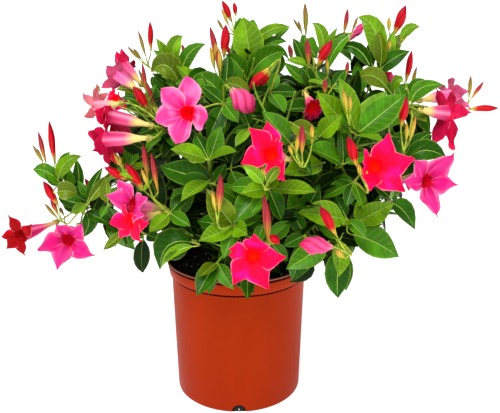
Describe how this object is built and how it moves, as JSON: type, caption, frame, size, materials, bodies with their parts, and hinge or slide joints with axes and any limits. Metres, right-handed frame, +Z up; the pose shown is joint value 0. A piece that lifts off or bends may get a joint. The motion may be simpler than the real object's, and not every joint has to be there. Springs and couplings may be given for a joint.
{
  "type": "potted mandevilla",
  "caption": "Bushy potted flowering vine with trumpet blooms, buds and glossy leaves in a round plastic pot.",
  "frame": {"origin": "centre of the pot's flat underside", "axes": "+Z up along the pot's centre line, the pictured side faces -Y, +X to the viewer's right"},
  "size_m": [0.5493, 0.4121, 0.4553],
  "materials": {
    "pot": "satin terracotta-orange plastic",
    "soil": "dark moist potting mix",
    "bark": "green to brown young stems",
    "foliage": "glossy green leaves with pink and red blooms"
  },
  "bodies": {
    "root": {"pot": "pot", "soil": "soil", "stem_left": "bark", "stem_right": "bark", "stem_back": "bark", "stem_front": "bark", "bough_far_left": "bark", "leaves_far_left": "foliage", "bough_left_low": "bark", "leaves_left_low": "foliage", "bough_left_mid": "bark", "leaves_left_mid": "foliage", "bough_top_left": "bark", "leaves_top_left": "foliage", "bough_back_left": "bark", "leaves_back_left": "foliage", "bough_front_left": "bark", "leaves_front_left": "foliage", "bough_front_mid": "bark", "leaves_front_mid": "foliage", "bough_front_low": "bark", "leaves_front_low": "foliage", "bough_front_right": "bark", "leaves_front_right": "foliage", "bough_low_right": "bark", "leaves_low_right": "foliage", "bough_right_mid": "bark", "leaves_right_mid": "foliage", "bough_high_right": "bark", "leaves_high_right": "foliage", "bough_top_right": "bark", "leaves_top_right": "foliage", "bough_back_right": "bark", "leaves_back_right": "foliage", "bough_top_mid": "bark", "leaves_top_mid": "foliage", "bough_back_mid": "bark", "leaves_back_mid": "foliage", "bough_back_low": "bark", "leaves_back_low": "foliage"}
  },
  "joints": []
}
